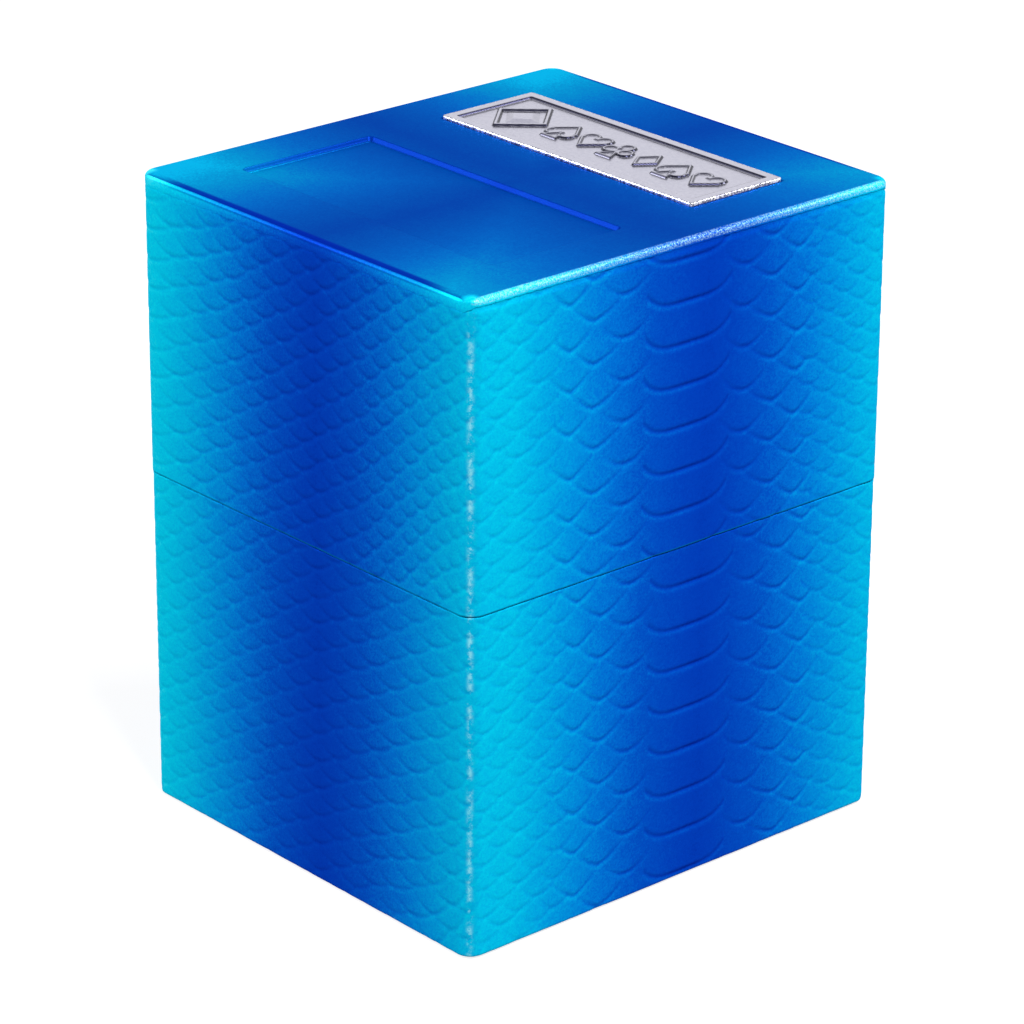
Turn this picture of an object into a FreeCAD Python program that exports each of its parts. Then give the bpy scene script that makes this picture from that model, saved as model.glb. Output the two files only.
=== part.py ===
"""Card deck box with a lift-off lid: grey board walls wrapped in embossed leatherette.

The box stands on z = 0 with its centre on the Z axis. X runs along the width, the way a card's
short edge lies, and the front is at -Y. The base carries an inner neck that stands up past the
seam, and the lid slides down over that neck until its rim meets the rim of the base.
"""

import FreeCAD, Part
import Sketcher
import os
from FreeCAD import Placement, Rotation, Vector

X_AXIS, Y_AXIS, Z_AXIS = Vector(1, 0, 0), Vector(0, 1, 0), Vector(0, 0, 1)
START, END, CENTRE = 1, 2, 3  # a sketch edge's points, by the Sketcher's numbers
ORIGIN = (-1, START)  # the sketch's own origin, as an edge and a point
SKETCH_Y = -2  # the sketch's own vertical axis
QUARTER_TURN = 90
SIDES = {"front": 0, "right": 90, "back": 180, "left": 270}  # turn about Z from the front wall

# name, millimetres, meaning
SIZES = [
    ("outer_width", 81.4, "lid across X, over the leatherette"),
    ("outer_depth", 89.2, "lid across Y, over the leatherette"),
    ("outer_height", 110.0, "floor to the leatherette on the lid's top"),
    ("corner_radius", 3.0, "upright edges of the lid"),
    ("seam_height", 58.5, "floor to the rim of the base"),
    ("seam_gap", 0.15, "rim of the base to rim of the lid"),
    ("lid_clearance", 0.3, "neck to lid, each side"),
    ("lid_overhang", 0.1, "lid beyond the base, each side"),
    ("wrap_thickness", 0.8, "embossed leatherette on the walls"),
    ("fold_thickness", 0.5, "leatherette folded round a rim"),
    ("fold_radius", 0.4, "round of the folded rims at the seam"),
    ("foot_radius", 0.8, "round of the base's lower edge"),
    ("flap_thickness", 0.4, "leatherette turned in behind a rim"),
    ("flap_height", 10.0, "how far it is turned in"),
    ("wall_board", 2.4, "grey board in the lid's walls"),
    ("lining_thickness", 0.4, "microfibre on the lid's walls"),
    ("top_band", 2.2, "how far the top skin comes down the walls"),
    ("top_skin", 0.7, "smooth leatherette on the lid's top"),
    ("top_edge_radius", 2.0, "round of the lid's top edge"),
    ("top_board", 1.5, "solid board under the lid's top"),
    ("recess_width", 60.5, "pressed panel across X"),
    ("recess_length", 26.6, "pressed panel across Y"),
    ("recess_depth", 0.9, "depth of the panel, and thickness of the window board"),
    ("recess_setback", 13.2, "front edge of the lid to the panel"),
    ("recess_radius", 0.8, "corners of the panel"),
    ("plate_width", 60.0, "nameplate across X"),
    ("plate_length", 20.0, "nameplate across Y"),
    ("plate_thickness", 1.0, "nameplate"),
    ("plate_rim", 1.9, "raised rim round the nameplate"),
    ("plate_field", 0.4, "depth of the field inside the rim"),
    ("plate_setback", 14.4, "back edge of the lid to the nameplate"),
    ("plate_radius", 0.6, "corners of the nameplate"),
    ("plate_chamfer", 0.12, "edge break on the nameplate"),
    ("plate_sink", 0.6, "depth of the nameplate's seat"),
    ("seat_clearance", 0.1, "nameplate to the side of its seat"),
    ("tape_thickness", 0.1, "adhesive sheet under the nameplate"),
    ("tape_margin", 1.0, "nameplate's edge to the adhesive's edge"),
    ("ceiling_pad", 2.0, "padded ceiling of the lid"),
    ("bottom_skin", 0.3, "smooth leatherette under the base"),
    ("bottom_inset", 2.5, "edge of the base to the edge of that sheet"),
    ("bottom_radius", 2.0, "corners of that sheet"),
    ("fold_under", 8.0, "leatherette turned under the base"),
    ("bottom_board", 2.0, "grey board in the bottom"),
    ("floor_pad", 2.0, "padded floor"),
    ("pad_clearance", 0.2, "pads to the linings beside them"),
    ("neck_top", 88.0, "floor to the rim of the neck"),
    ("neck_radius", 1.5, "upright edges of the neck"),
    ("neck_cover", 0.3, "microfibre outside the neck"),
    ("neck_board", 1.5, "grey board in the neck"),
    ("neck_lining", 0.4, "microfibre inside the neck"),
    ("neck_flap", 12.0, "how far the neck's cover is turned in"),
    ("magnet_diameter", 8.0, "disc magnets"),
    ("magnet_thickness", 1.0, "disc magnets"),
    ("magnet_clearance", 0.1, "magnet to the side of its pocket"),
    ("magnet_drop", 12.0, "rim of the neck down to the magnets' centres"),
]

doc = FreeCAD.newDocument("card_deck_box")
sheet = doc.addObject("Spreadsheet::Sheet", "Sizes")
for row, (name, millimetres, meaning) in enumerate(SIZES, start=1):
    sheet.set(f"A{row}", meaning)
    sheet.set(f"B{row}", str(millimetres))
    sheet.setAlias(f"B{row}", name)
doc.recompute()


def size(text):
    """An expression on the sheet, written with the bare names of its sizes."""
    names = sorted((name for name, _, _ in SIZES), key=len, reverse=True)
    words = text.replace("(", " ( ").replace(")", " ) ").split()
    return "(" + " ".join(f"Sizes.{word}" if word in names else word for word in words) + ")"


def less(length, *walls):
    """A length that loses a wall at each of its two ends."""
    return "(" + length + "".join(f" - 2 * {wall}" for wall in walls) + ")"


def minus(length, *others):
    return "(" + length + "".join(f" - {other}" for other in others) + ")"


def plus(length, *others):
    return "(" + length + "".join(f" + {other}" for other in others) + ")"


def number(expression):
    return float(sheet.evalExpression(expression))


class Plan:
    """A rectangle with rounded corners, centred on the Z axis: its width, depth and corner radius."""

    def __init__(self, width, depth, radius=None):
        self.width, self.depth, self.radius = width, depth, radius

    def inside(self, wall, sharp=False):
        radius = None if sharp or self.radius is None else minus(self.radius, wall)
        return Plan(less(self.width, wall), less(self.depth, wall), radius)

    def outside(self, margin):
        return Plan(plus(self.width, f"2 * {margin}"), plus(self.depth, f"2 * {margin}"))

    def turned(self):
        return Plan(self.depth, self.width, self.radius)


# Plans, from the outside in
WRAP, BOARD, FLAP = size("wrap_thickness"), size("wall_board"), size("flap_thickness")
CLEARANCE, OVERHANG = size("lid_clearance"), size("lid_overhang")
BASE_BOARD = minus(plus(BOARD, CLEARANCE), OVERHANG)
NECK_COVER, NECK_BOARD, NECK_LINING = size("neck_cover"), size("neck_board"), size("neck_lining")

lid_outside = Plan(size("outer_width"), size("outer_depth"), size("corner_radius"))
lid_core = lid_outside.inside(WRAP)
lid_board_inside = lid_core.inside(BOARD, sharp=True)
lid_flap_inside = lid_board_inside.inside(FLAP)
lid_lining_inside = lid_board_inside.inside(size("lining_thickness"))

base_outside = lid_outside.inside(OVERHANG)
base_core = base_outside.inside(WRAP)
base_board_inside = base_core.inside(BASE_BOARD, sharp=True)

neck_outside = Plan(
    less(lid_flap_inside.width, CLEARANCE),
    less(lid_flap_inside.depth, CLEARANCE),
    size("neck_radius"),
)
neck_core = neck_outside.inside(NECK_COVER)
neck_board_inside = neck_core.inside(NECK_BOARD, sharp=True)
neck_inside = neck_board_inside.inside(NECK_LINING)

# Levels, from the floor up
FOLD = size("fold_thickness")
BASE_WRAP_LOW = size("bottom_skin")
BASE_BOARD_LOW = plus(BASE_WRAP_LOW, FOLD)
INNER_FLOOR = plus(BASE_BOARD_LOW, size("bottom_board"))
SEAM = size("seam_height")
LID_RIM = plus(SEAM, size("seam_gap"))
LID_FLAP_TOP = plus(LID_RIM, FOLD, size("flap_height"))
NECK_TOP = size("neck_top")
LID_TOP = size("outer_height")
BAND_LOW = minus(LID_TOP, size("top_band"))
SKIN_UNDERSIDE = minus(LID_TOP, size("top_skin"))
WINDOW_LOW = minus(SKIN_UNDERSIDE, size("recess_depth"))
TOP_BOARD_LOW = minus(WINDOW_LOW, size("top_board"))
PLATE_SEAT = minus(LID_TOP, size("plate_sink"))
PLATE_LOW = plus(PLATE_SEAT, size("tape_thickness"))
PLATE_TOP = plus(PLATE_LOW, size("plate_thickness"))
MAGNET_LEVEL = minus(NECK_TOP, size("magnet_drop"))


def origin_plane(body, role):
    return next(plane for plane in body.Origin.OriginFeatures if plane.Role == role)


def new_body(label, turn=0):
    body = doc.addObject("PartDesign::Body", label)
    body.Label = label
    body.Placement = Placement(Vector(0, 0, 0), Rotation(Z_AXIS, turn))
    return body


def new_sketch(body, name, offset, role="XY_Plane"):
    """A sketch parallel to one of the body's own origin planes, offset along that plane's normal."""
    sketch = body.newObject("Sketcher::SketchObject", name)
    sketch.AttachmentSupport = [(origin_plane(body, role), "")]
    sketch.MapMode = "FlatFace"
    sketch.setExpression("AttachmentOffset.Base.z", offset)
    return sketch


def bind(sketch, constraint, expression):
    """Adds a dimension to the sketch and ties it to the sheet."""
    index = sketch.addConstraint(constraint)
    sketch.setExpression(f"Constraints[{index}]", expression)


def add_lines(sketch, points):
    """A closed run of lines through the points. Returns each line's number."""
    ends = points[1:] + points[:1]
    lines = [
        sketch.addGeometry(Part.LineSegment(Vector(*a, 0), Vector(*b, 0)))
        for a, b in zip(points, ends)
    ]
    for line, following in zip(lines, lines[1:] + lines[:1]):
        sketch.addConstraint(Sketcher.Constraint("Coincident", line, END, following, START))
    return lines


def add_rectangle(sketch, plan, centre_y):
    """A sharp rectangle, centred on X = 0 and on the given Y."""
    half_x, half_y = number(plan.width) / 2, number(plan.depth) / 2
    middle = number(centre_y)
    corners = [(-half_x, middle - half_y), (half_x, middle - half_y)]
    corners += [(half_x, middle + half_y), (-half_x, middle + half_y)]
    south, east, north, west = add_lines(sketch, corners)
    sketch.addConstraint(Sketcher.Constraint("Horizontal", north))
    for line in (east, west):
        sketch.addConstraint(Sketcher.Constraint("Vertical", line))
    sketch.addConstraint(Sketcher.Constraint("Symmetric", south, START, south, END, SKETCH_Y))
    bind(sketch, Sketcher.Constraint("DistanceX", south, START, south, END, 2 * half_x), plan.width)
    bind(sketch, Sketcher.Constraint("DistanceY", east, START, east, END, 2 * half_y), plan.depth)
    place_edge(sketch, south, middle - half_y, f"({centre_y} - {plan.depth} / 2)")


def place_edge(sketch, line, level, expression):
    """Ties the Y of a horizontal line, measured from the sketch's origin."""
    if level < 0:
        bind(sketch, Sketcher.Constraint("DistanceY", line, START, *ORIGIN, -level), f"(-{expression})")
    else:
        bind(sketch, Sketcher.Constraint("DistanceY", *ORIGIN, line, START, level), expression)


def add_rounded_rectangle(sketch, plan, centre_y):
    """Four sides joined by four tangent arcs of one radius, centred on X = 0 and on the given Y."""
    half_x, half_y = number(plan.width) / 2, number(plan.depth) / 2
    middle, radius = number(centre_y), number(plan.radius)
    sides, arcs = [], []
    quarter = Rotation(Z_AXIS, QUARTER_TURN)
    reach = [(half_x, half_y), (half_y, half_x)] * 2
    for turn, (along, out) in enumerate(reach):
        spin = Rotation(Z_AXIS, QUARTER_TURN * turn)
        shift = Vector(0, middle, 0)
        start = spin.multVec(Vector(radius - along, -out, 0)) + shift
        end = spin.multVec(Vector(along - radius, -out, 0)) + shift
        centre = spin.multVec(Vector(along - radius, radius - out, 0)) + shift
        sides.append(sketch.addGeometry(Part.LineSegment(start, end)))
        toward_end = end - centre
        middle_of_arc = centre + (toward_end + quarter.multVec(toward_end)).normalize() * radius
        arc = Part.Arc(end, middle_of_arc, centre + quarter.multVec(toward_end))
        arcs.append(sketch.addGeometry(arc))
    for side, arc, following in zip(sides, arcs, sides[1:] + sides[:1]):
        sketch.addConstraint(Sketcher.Constraint("Tangent", side, END, arc, START))
        sketch.addConstraint(Sketcher.Constraint("Tangent", arc, END, following, START))
    for arc in arcs[1:]:
        sketch.addConstraint(Sketcher.Constraint("Equal", arcs[0], arc))
    south, east, north, west = sides
    sketch.addConstraint(Sketcher.Constraint("Vertical", east))
    sketch.addConstraint(Sketcher.Constraint("Symmetric", south, START, south, END, SKETCH_Y))
    bind(sketch, Sketcher.Constraint("Radius", arcs[0], radius), plan.radius)
    straight_x = minus(plan.width, f"2 * {plan.radius}")
    straight_y = minus(plan.depth, f"2 * {plan.radius}")
    bind(
        sketch,
        Sketcher.Constraint("DistanceX", south, START, south, END, 2 * (half_x - radius)),
        straight_x,
    )
    bind(
        sketch,
        Sketcher.Constraint("DistanceY", east, START, east, END, 2 * (half_y - radius)),
        straight_y,
    )
    place_edge(sketch, south, middle - half_y, f"({centre_y} - {plan.depth} / 2)")


def add_outline(sketch, plan, centre_y="0"):
    if plan.radius is None:
        add_rectangle(sketch, plan, centre_y)
    else:
        add_rounded_rectangle(sketch, plan, centre_y)


def extrude(body, kind, name, plans, low, high, centre_y):
    """A Pad or a Pocket of one plan, or of a ring between two, from one level up to another."""
    sketch = new_sketch(body, f"{name}_sketch", low)
    for plan in plans:
        add_outline(sketch, plan, centre_y)
    return run_feature(body, kind, name, sketch, minus(high, low), upwards=True)


def run_feature(body, kind, name, sketch, length, upwards):
    """Adds the feature along the sketch's normal or against it, and checks that it took effect.

    A Pad runs along the normal by itself, and a Pocket against it.
    """
    before = 0.0 if body.Shape.isNull() else body.Shape.Volume
    feature = body.newObject(f"PartDesign::{kind}", name)
    feature.Profile = sketch
    feature.Reversed = upwards != (kind == "Pad")
    feature.setExpression("Length", length)
    doc.recompute()
    change = body.Shape.Volume - before
    if (change > 0) != (kind == "Pad") or change == 0:
        raise RuntimeError(f"{body.Label}: {name} changed the volume by {change:.3f}")
    return feature


def pad(body, name, plans, low, high, centre_y="0"):
    return extrude(body, "Pad", name, plans, low, high, centre_y)


def pocket(body, name, plans, low, high, centre_y="0"):
    return extrude(body, "Pocket", name, plans, low, high, centre_y)


def dress_outline(body, kind, name, base, level, expression):
    """A Fillet or a Chamfer round the outline of the level face at that height."""
    height = number(level)
    faces = [face for face in base.Shape.Faces if lies_level(face, height)]
    outline = max(faces, key=lambda face: face.Area).OuterWire
    names = [
        f"Edge{index}"
        for index, edge in enumerate(base.Shape.Edges, start=1)
        if any(edge.isSame(side) for side in outline.Edges)
    ]
    feature = body.newObject(f"PartDesign::{kind}", name)
    feature.Base = (base, names)
    feature.setExpression("Radius" if kind == "Fillet" else "Size", expression)
    doc.recompute()
    return feature


def lies_level(face, height):
    return max(abs(face.BoundBox.ZMin - height), abs(face.BoundBox.ZMax - height)) < 1e-6


def make_sheet(label, plan, low, high, centre_y="0"):
    body = new_body(label)
    pad(body, "sheet", [plan], low, high, centre_y)
    return body


def make_ring(label, outside, inside, low, high):
    body = new_body(label)
    pad(body, "ring", [outside, inside], low, high)
    return body


def cut_folded_cover(body, core, board_inside, inside, levels):
    """Hollows a block so that it wraps boards and folds round their rim.

    The levels run along the boards: the outside of the fold, the rim of the boards, the end of
    the flap behind them, and the open end of the leg outside them.
    """
    fold, rim, flap_end, open_end = levels
    cuts = {
        "board_slot": ([core, board_inside], rim, flap_end),
        "behind_flap": ([core], flap_end, open_end),
        "inside": ([inside], fold, flap_end),
    }
    for name, (plans, start, end) in cuts.items():
        low, high = sorted((start, end), key=number)
        pocket(body, name, plans, low, high)


def make_mitred_board(label, core, thickness, low, high, side, pocket_face=None):
    """One wall of grey board, drawn as the front wall and turned to its side.

    Its ends are cut at 45 degrees where it meets its neighbours. pocket_face says which face,
    outer or inner, has the blind pocket for a magnet.
    """
    plan = core.turned() if side in ("left", "right") else core
    body = new_body(label, SIDES[side])
    sketch = new_sketch(body, "board_sketch", low)
    add_mitred_outline(sketch, plan, thickness)
    run_feature(body, "Pad", "board", sketch, minus(high, low), upwards=True)
    if pocket_face:
        half_depth = f"({plan.depth} / 2)"
        face = half_depth if pocket_face == "outer" else minus(half_depth, thickness)
        circle = new_sketch(body, "magnet_sketch", face, role="XZ_Plane")
        add_circle(circle, MAGNET_LEVEL, magnet_pocket_diameter)
        depth = size("magnet_thickness")
        run_feature(body, "Pocket", "magnet_pocket", circle, depth, upwards=pocket_face == "inner")
    return body


def add_mitred_outline(sketch, plan, thickness):
    """Plan of a front wall: inner line, two mitres, and an outer line with half a corner arc
    at each end."""
    half_x, half_y = number(plan.width) / 2, number(plan.depth) / 2
    radius, wall = number(plan.radius), number(thickness)
    centre = Vector(half_x - radius, radius - half_y, 0)
    on_arc = [centre + Rotation(Z_AXIS, turn).multVec(Vector(0, -radius, 0)) for turn in (0, 22.5, 45)]
    inner = Vector(half_x - wall, wall - half_y, 0)

    def mirrored(point):
        return Vector(-point.x, point.y, 0)

    outer_line = sketch.addGeometry(Part.LineSegment(mirrored(on_arc[0]), on_arc[0]))
    right_arc = sketch.addGeometry(Part.Arc(*on_arc))
    right_mitre = sketch.addGeometry(Part.LineSegment(on_arc[2], inner))
    inner_line = sketch.addGeometry(Part.LineSegment(inner, mirrored(inner)))
    left_mitre = sketch.addGeometry(Part.LineSegment(mirrored(inner), mirrored(on_arc[2])))
    left_arc = sketch.addGeometry(Part.Arc(*[mirrored(point) for point in reversed(on_arc)]))
    add = sketch.addConstraint
    add(Sketcher.Constraint("Tangent", outer_line, END, right_arc, START))
    add(Sketcher.Constraint("Coincident", right_arc, END, right_mitre, START))
    add(Sketcher.Constraint("Coincident", right_mitre, END, inner_line, START))
    add(Sketcher.Constraint("Coincident", inner_line, END, left_mitre, START))
    add(Sketcher.Constraint("Coincident", left_mitre, END, left_arc, START))
    add(Sketcher.Constraint("Tangent", left_arc, END, outer_line, START))
    add(Sketcher.Constraint("Horizontal", outer_line))
    add(Sketcher.Constraint("Equal", right_arc, left_arc))
    add(Sketcher.Constraint("Symmetric", inner_line, START, inner_line, END, SKETCH_Y))
    add(Sketcher.Constraint("Symmetric", right_arc, END, left_arc, START, SKETCH_Y))
    add(Sketcher.Constraint("PointOnObject", right_arc, CENTRE, right_mitre))
    inner_length = less(plan.width, thickness)
    bind(sketch, Sketcher.Constraint("Radius", right_arc, radius), plan.radius)
    bind(
        sketch,
        Sketcher.Constraint("DistanceX", inner_line, END, inner_line, START, 2 * (half_x - wall)),
        inner_length,
    )
    bind(
        sketch,
        Sketcher.Constraint("DistanceY", outer_line, START, *ORIGIN, half_y),
        f"({plan.depth} / 2)",
    )
    bind(
        sketch,
        Sketcher.Constraint("DistanceY", inner_line, START, *ORIGIN, half_y - wall),
        minus(f"{plan.depth} / 2", thickness),
    )
    bind(
        sketch,
        Sketcher.Constraint("DistanceX", outer_line, START, outer_line, END, 2 * (half_x - radius)),
        minus(plan.width, f"2 * {plan.radius}"),
    )


def add_circle(sketch, level, diameter):
    """A circle on the sketch's vertical axis."""
    height, radius = number(level), number(diameter) / 2
    circle = sketch.addGeometry(Part.Circle(Vector(0, height, 0), Z_AXIS, radius))
    sketch.addConstraint(Sketcher.Constraint("PointOnObject", circle, CENTRE, SKETCH_Y))
    bind(sketch, Sketcher.Constraint("DistanceY", *ORIGIN, circle, CENTRE, height), level)
    bind(sketch, Sketcher.Constraint("Diameter", circle, 2 * radius), diameter)


def make_magnets(label, faces, inward):
    """Four discs, one to a wall, each with one end flush with the face that carries it.

    faces holds the plan of those faces. The discs lie on its inner side, or on its outer side.
    """
    discs = []
    for side, turn in SIDES.items():
        disc = doc.addObject("Part::Cylinder", f"{label}_{side}")
        disc.setExpression("Radius", f"({size('magnet_diameter')} / 2)")
        disc.setExpression("Height", size("magnet_thickness"))
        spin = Rotation(Z_AXIS, turn)
        outward = spin.multVec(-Y_AXIS)
        tip = -QUARTER_TURN if inward else QUARTER_TURN
        disc.Placement = Placement(Vector(0, 0, 0), spin.multiply(Rotation(X_AXIS, tip)))
        for axis, length in (("x", faces.width), ("y", faces.depth)):
            sign = round(getattr(outward, axis))
            if sign:
                disc.setExpression(f"Placement.Base.{axis}", f"({sign} * {length} / 2)")
        disc.setExpression("Placement.Base.z", MAGNET_LEVEL)
        discs.append(disc)
    group = doc.addObject("Part::Compound", label)
    group.Label = label
    group.Links = discs
    return group


magnet_pocket_diameter = plus(size("magnet_diameter"), f"2 * {size('magnet_clearance')}")
subparts = []


def build_base():
    wrap = new_body("base_wrap")
    block = pad(wrap, "block", [base_outside], BASE_WRAP_LOW, SEAM)
    rounded = dress_outline(wrap, "Fillet", "rim_round", block, SEAM, size("fold_radius"))
    dress_outline(wrap, "Fillet", "foot_round", rounded, BASE_WRAP_LOW, size("foot_radius"))
    rim = minus(SEAM, FOLD)
    flap_end = minus(rim, size("flap_height"))
    levels = (SEAM, rim, flap_end, BASE_BOARD_LOW)
    cut_folded_cover(wrap, base_core, base_board_inside, neck_outside, levels)
    under = base_outside.inside(size("fold_under"), sharp=True)
    pocket(wrap, "under_window", [under], BASE_WRAP_LOW, BASE_BOARD_LOW)

    skin = new_body("base_bottom_skin")
    edge = base_outside.inside(size("bottom_inset"), sharp=True)
    edge.radius = size("bottom_radius")
    pad(skin, "underside", [edge], "0", BASE_WRAP_LOW)
    pad(skin, "land", [under.inside(size("pad_clearance"))], BASE_WRAP_LOW, BASE_BOARD_LOW)

    bottom = make_sheet("base_bottom_board", base_core, BASE_BOARD_LOW, INNER_FLOOR)
    walls = [
        make_mitred_board(f"base_{side}_board", base_core, BASE_BOARD, INNER_FLOOR, rim, side)
        for side in SIDES
    ]
    subparts.extend([wrap, skin, bottom, *walls])


def build_neck():
    cover = new_body("neck_cover")
    pad(cover, "block", [neck_outside], INNER_FLOOR, NECK_TOP)
    rim = minus(NECK_TOP, NECK_COVER)
    flap_end = minus(rim, size("neck_flap"))
    levels = (NECK_TOP, rim, flap_end, INNER_FLOOR)
    cut_folded_cover(cover, neck_core, neck_board_inside, neck_inside, levels)
    walls = [
        make_mitred_board(
            f"neck_{side}_board", neck_core, NECK_BOARD, INNER_FLOOR, rim, side, "outer"
        )
        for side in SIDES
    ]
    lining = make_ring("inner_lining", neck_board_inside, neck_inside, INNER_FLOOR, flap_end)
    floor = neck_inside.inside(size("pad_clearance"))
    pad_top = plus(INNER_FLOOR, size("floor_pad"))
    floor_pad = make_sheet("floor_pad", floor, INNER_FLOOR, pad_top)
    magnets = make_magnets("neck_magnets", neck_core, inward=True)
    subparts.extend([cover, *walls, lining, floor_pad, magnets])


def build_lid_walls():
    wrap = new_body("lid_wrap")
    block = pad(wrap, "block", [lid_outside], LID_RIM, BAND_LOW)
    dress_outline(wrap, "Fillet", "rim_round", block, LID_RIM, size("fold_radius"))
    rim = plus(LID_RIM, FOLD)
    levels = (LID_RIM, rim, LID_FLAP_TOP, BAND_LOW)
    cut_folded_cover(wrap, lid_core, lid_board_inside, lid_flap_inside, levels)
    walls = [
        make_mitred_board(f"lid_{side}_board", lid_core, BOARD, rim, TOP_BOARD_LOW, side, "inner")
        for side in SIDES
    ]
    lining = make_ring(
        "lid_lining", lid_board_inside, lid_lining_inside, LID_FLAP_TOP, TOP_BOARD_LOW
    )
    magnets = make_magnets("lid_magnets", lid_board_inside, inward=False)
    subparts.extend([wrap, *walls, lining, magnets])


def build_lid_top():
    skin_thickness = size("top_skin")
    recess = Plan(size("recess_width"), size("recess_length"), size("recess_radius"))
    plate = Plan(size("plate_width"), size("plate_length"), size("plate_radius"))
    back_edge = f"({lid_outside.depth} / 2)"
    recess_centre = minus(plus(size("recess_setback"), f"{recess.depth} / 2"), back_edge)
    plate_centre = minus(back_edge, size("plate_setback"), f"{plate.depth} / 2")
    window = recess.outside(skin_thickness)
    seat = plate.outside(size("seat_clearance"))
    seat.radius = plate.radius
    seat_window = seat.outside(skin_thickness)
    seat_underside = minus(PLATE_SEAT, skin_thickness)

    skin = new_body("lid_top_skin")
    block = pad(skin, "block", [lid_outside], BAND_LOW, LID_TOP)
    dress_outline(skin, "Fillet", "top_edge", block, LID_TOP, size("top_edge_radius"))
    pocket(skin, "underside", [lid_core], BAND_LOW, SKIN_UNDERSIDE)
    pad(skin, "recess_floor", [window], WINDOW_LOW, SKIN_UNDERSIDE, recess_centre)
    recess_low = minus(LID_TOP, size("recess_depth"))
    pocket(skin, "recess", [recess], recess_low, LID_TOP, recess_centre)
    pad(skin, "seat_floor", [seat_window], seat_underside, SKIN_UNDERSIDE, plate_centre)
    pocket(skin, "seat", [seat], PLATE_SEAT, LID_TOP, plate_centre)

    window_board = new_body("lid_window_board")
    pad(window_board, "board", [lid_core], WINDOW_LOW, SKIN_UNDERSIDE)
    pocket(window_board, "window", [window], WINDOW_LOW, SKIN_UNDERSIDE, recess_centre)
    pocket(window_board, "seat", [seat_window], seat_underside, SKIN_UNDERSIDE, plate_centre)

    board = make_sheet("lid_top_board", lid_core, TOP_BOARD_LOW, WINDOW_LOW)
    ceiling = lid_lining_inside.inside(size("pad_clearance"))
    ceiling_low = minus(TOP_BOARD_LOW, size("ceiling_pad"))
    ceiling_pad = make_sheet("lid_ceiling_pad", ceiling, ceiling_low, TOP_BOARD_LOW)

    nameplate = new_body("nameplate")
    blank = pad(nameplate, "blank", [plate], PLATE_LOW, PLATE_TOP, plate_centre)
    dress_outline(nameplate, "Chamfer", "edge_break", blank, PLATE_TOP, size("plate_chamfer"))
    field = plate.inside(size("plate_rim"), sharp=True)
    field_low = minus(PLATE_TOP, size("plate_field"))
    pocket(nameplate, "field", [field], field_low, PLATE_TOP, plate_centre)
    tape_plan = plate.inside(size("tape_margin"), sharp=True)
    tape = make_sheet("nameplate_tape", tape_plan, PLATE_SEAT, PLATE_LOW, plate_centre)
    subparts.extend([skin, window_board, board, ceiling_pad, nameplate, tape])


def check_document():
    doc.recompute()
    for thing in doc.Objects:
        if {"Invalid", "Error"} & set(thing.State):
            raise RuntimeError(f"{thing.Label} failed: {thing.State}")
    for part in subparts:
        if part.Shape.isNull() or not part.Shape.isValid() or not part.Shape.Solids:
            raise RuntimeError(f"{part.Label} has no valid solid")


def export_parts():
    os.makedirs("parts", exist_ok=True)
    for part in subparts:
        part.Shape.exportStep(f"parts/{part.Label}.step")
        box = part.Shape.BoundBox
        print(
            f"{part.Label}: {len(part.Shape.Solids)} solid, {part.Shape.Volume:.1f} mm3,"
            f" z {box.ZMin:.2f} to {box.ZMax:.2f}"
        )


build_base()
build_neck()
build_lid_walls()
build_lid_top()
check_document()
export_parts()
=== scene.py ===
"""Looks for the card deck box: embossed snakeskin leatherette, a smooth top with a pressed panel,
a metal nameplate, and microfibre inside. Lengths in the shape functions are in millimetres."""

import functools
import itertools
import math
from collections import namedtuple

import bpy
import numpy as np
from mathutils import Matrix, Vector


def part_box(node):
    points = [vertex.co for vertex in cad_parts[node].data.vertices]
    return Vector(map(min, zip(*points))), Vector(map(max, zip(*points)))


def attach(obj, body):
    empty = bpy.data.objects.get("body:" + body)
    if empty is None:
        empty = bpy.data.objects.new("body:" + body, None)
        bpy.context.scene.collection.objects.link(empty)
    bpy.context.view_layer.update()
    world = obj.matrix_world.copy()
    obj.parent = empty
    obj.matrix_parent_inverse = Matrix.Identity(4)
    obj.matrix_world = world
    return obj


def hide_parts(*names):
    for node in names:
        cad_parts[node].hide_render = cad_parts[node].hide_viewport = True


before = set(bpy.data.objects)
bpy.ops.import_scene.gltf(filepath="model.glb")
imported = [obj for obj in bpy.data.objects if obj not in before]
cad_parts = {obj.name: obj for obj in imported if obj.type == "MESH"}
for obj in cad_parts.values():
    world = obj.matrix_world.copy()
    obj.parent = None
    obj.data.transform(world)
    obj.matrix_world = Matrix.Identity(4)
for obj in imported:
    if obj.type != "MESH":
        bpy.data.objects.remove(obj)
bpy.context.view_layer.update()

METRES = 0.001
SHARP = math.radians(58.0)
RANDOM = np.random.default_rng(11)


# ---------------------------------------------------------------- sizes taken from the frame

def node_box(name):
    """A node's lowest and highest corners in millimetres."""
    low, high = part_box(name)
    return np.array(low) / METRES, np.array(high) / METRES


WRAPS = {"lid": node_box("lid_wrap"), "base": node_box("base_wrap")}
TOP_HIGH = node_box("lid_top_skin")[1]
PLATE_LOW, PLATE_HIGH = node_box("nameplate")
PLATE_HALF = (PLATE_HIGH - PLATE_LOW)[:2] / 2.0
PLATE_CENTRE = (PLATE_HIGH + PLATE_LOW)[:2] / 2.0
BOARD_HIGH = node_box("lid_window_board")[1]

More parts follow.
